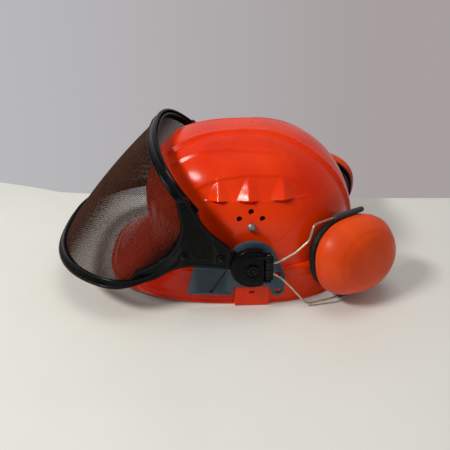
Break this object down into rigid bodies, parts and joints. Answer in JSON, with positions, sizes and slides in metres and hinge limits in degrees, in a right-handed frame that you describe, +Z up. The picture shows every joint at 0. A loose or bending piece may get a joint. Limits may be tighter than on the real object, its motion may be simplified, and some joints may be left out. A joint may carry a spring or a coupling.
{
  "type": "forestry helmet",
  "caption": "Forestry helmet: vented plastic shell with a woven-mesh visor on side hubs and two ear muffs on sprung wire arms parked at the rear.",
  "frame": {"origin": "middle of the overall length and width, on the plane the rim stands on", "axes": "+X to the wearer's left, -Y to the front, +Z up"},
  "size_m": [0.275, 0.3802, 0.1748],
  "materials": {
    "shell": "glossy orange-red moulded plastic with light scuffs",
    "cup": "satin orange moulded plastic",
    "black_plastic": "satin black moulded plastic",
    "blue_plastic": "satin blue-grey moulded plastic",
    "sleeve_plastic": "matt dark grey plastic sleeve",
    "spring_steel": "bright drawn spring wire",
    "rivet": "dull zinc-plated rivet",
    "visor_mesh": "dark enamelled woven wire mesh",
    "cushion": "soft black vinyl ear cushion",
    "foam": "open-cell grey foam",
    "band_plastic": "flexible dark plastic strap",
    "webbing": "woven dark nylon webbing",
    "sweatband": "padded dark fabric sweatband"
  },
  "bodies": {
    "helmet": {"adapter_l": "blue_plastic", "adapter_r": "blue_plastic", "crown_strap_a": "webbing", "crown_strap_b": "webbing", "crown_strap_c": "webbing", "harness_clip_1": "band_plastic", "harness_clip_2": "band_plastic", "harness_clip_3": "band_plastic", "harness_clip_4": "band_plastic", "harness_clip_5": "band_plastic", "harness_clip_6": "band_plastic", "headband": "band_plastic", "pivot_pin_l": "black_plastic", "pivot_pin_r": "black_plastic", "shell": "shell", "side_rivet_l": "rivet", "side_rivet_r": "rivet", "sweatband": "sweatband"},
    "visor": {"visor_arm_l": "black_plastic", "visor_arm_r": "black_plastic", "visor_frame": "black_plastic", "visor_mesh": "visor_mesh", "visor_retainer": "black_plastic", "visor_rivet_front_l": "black_plastic", "visor_rivet_front_r": "black_plastic", "visor_rivet_rear_l": "black_plastic", "visor_rivet_rear_r": "black_plastic"},
    "nape": {"nape_band": "band_plastic", "ratchet_housing": "band_plastic"},
    "knob": {"ratchet_knob": "band_plastic"},
    "hub_l": {"hub_l": "black_plastic", "carrier_pin_l": "spring_steel"},
    "arm_l": {"carrier_l": "black_plastic", "wire_upper_l": "spring_steel", "wire_lower_l": "spring_steel", "sleeve_upper_l": "sleeve_plastic", "sleeve_lower_l": "sleeve_plastic"},
    "cup_l": {"cup_l": "cup", "cup_plate_l": "black_plastic", "ear_cushion_l": "cushion", "ear_foam_l": "foam"},
    "hub_r": {"hub_r": "black_plastic", "carrier_pin_r": "spring_steel"},
    "arm_r": {"carrier_r": "black_plastic", "wire_upper_r": "spring_steel", "wire_lower_r": "spring_steel", "sleeve_upper_r": "sleeve_plastic", "sleeve_lower_r": "sleeve_plastic"},
    "cup_r": {"cup_r": "cup", "cup_plate_r": "black_plastic", "ear_cushion_r": "cushion", "ear_foam_r": "foam"}
  },
  "joints": [
    {"name": "visor_pivot", "type": "hinge", "parent": "helmet", "child": "visor", "pos_m": [0, 0.03333, 0.055], "axis": [-1, 0, 0], "range_deg": [-26, 50]},
    {"name": "nape_slide", "type": "slide", "parent": "helmet", "child": "nape", "axis": [0, 1, 0], "range_m": [-0.012, 0.006]},
    {"name": "ratchet_turn", "type": "hinge", "parent": "nape", "child": "knob", "pos_m": [0, 0.13283, 0.018], "axis": [0, 1, 0], "range_deg": [-270, 135]},
    {"name": "muff_swing_l", "type": "hinge", "parent": "helmet", "child": "hub_l", "pos_m": [0.1245, 0.03333, 0.055], "axis": [1, 0, 0], "range_deg": [-100, 0]},
    {"name": "muff_out_l", "type": "hinge", "parent": "hub_l", "child": "arm_l", "pos_m": [0.1242, 0.04893, 0.055], "axis": [0, 0, -1], "range_deg": [0, 45]},
    {"name": "cup_tilt_l", "type": "hinge", "parent": "arm_l", "child": "cup_l", "pos_m": [0.09377, 0.14042, 0.05108], "axis": [-0.1836, -0.0976, 0.9781], "range_deg": [-4, 12]},
    {"name": "muff_swing_r", "type": "hinge", "parent": "helmet", "child": "hub_r", "pos_m": [-0.1245, 0.03333, 0.055], "axis": [1, 0, 0], "range_deg": [-100, 0]},
    {"name": "muff_out_r", "type": "hinge", "parent": "hub_r", "child": "arm_r", "pos_m": [-0.1242, 0.04893, 0.055], "axis": [0, 0, 1], "range_deg": [0, 45]},
    {"name": "cup_tilt_r", "type": "hinge", "parent": "arm_r", "child": "cup_r", "pos_m": [-0.09377, 0.14042, 0.05108], "axis": [-0.1836, 0.0976, -0.9781], "range_deg": [-4, 12]}
  ],
  "couplings": [
    {"joint": "muff_out_l", "follows": "muff_swing_l", "ratio": -0.45},
    {"joint": "muff_out_r", "follows": "muff_swing_r", "ratio": -0.45},
    {"joint": "ratchet_turn", "follows": "nape_slide", "rad_per_m": 392.7}
  ]
}
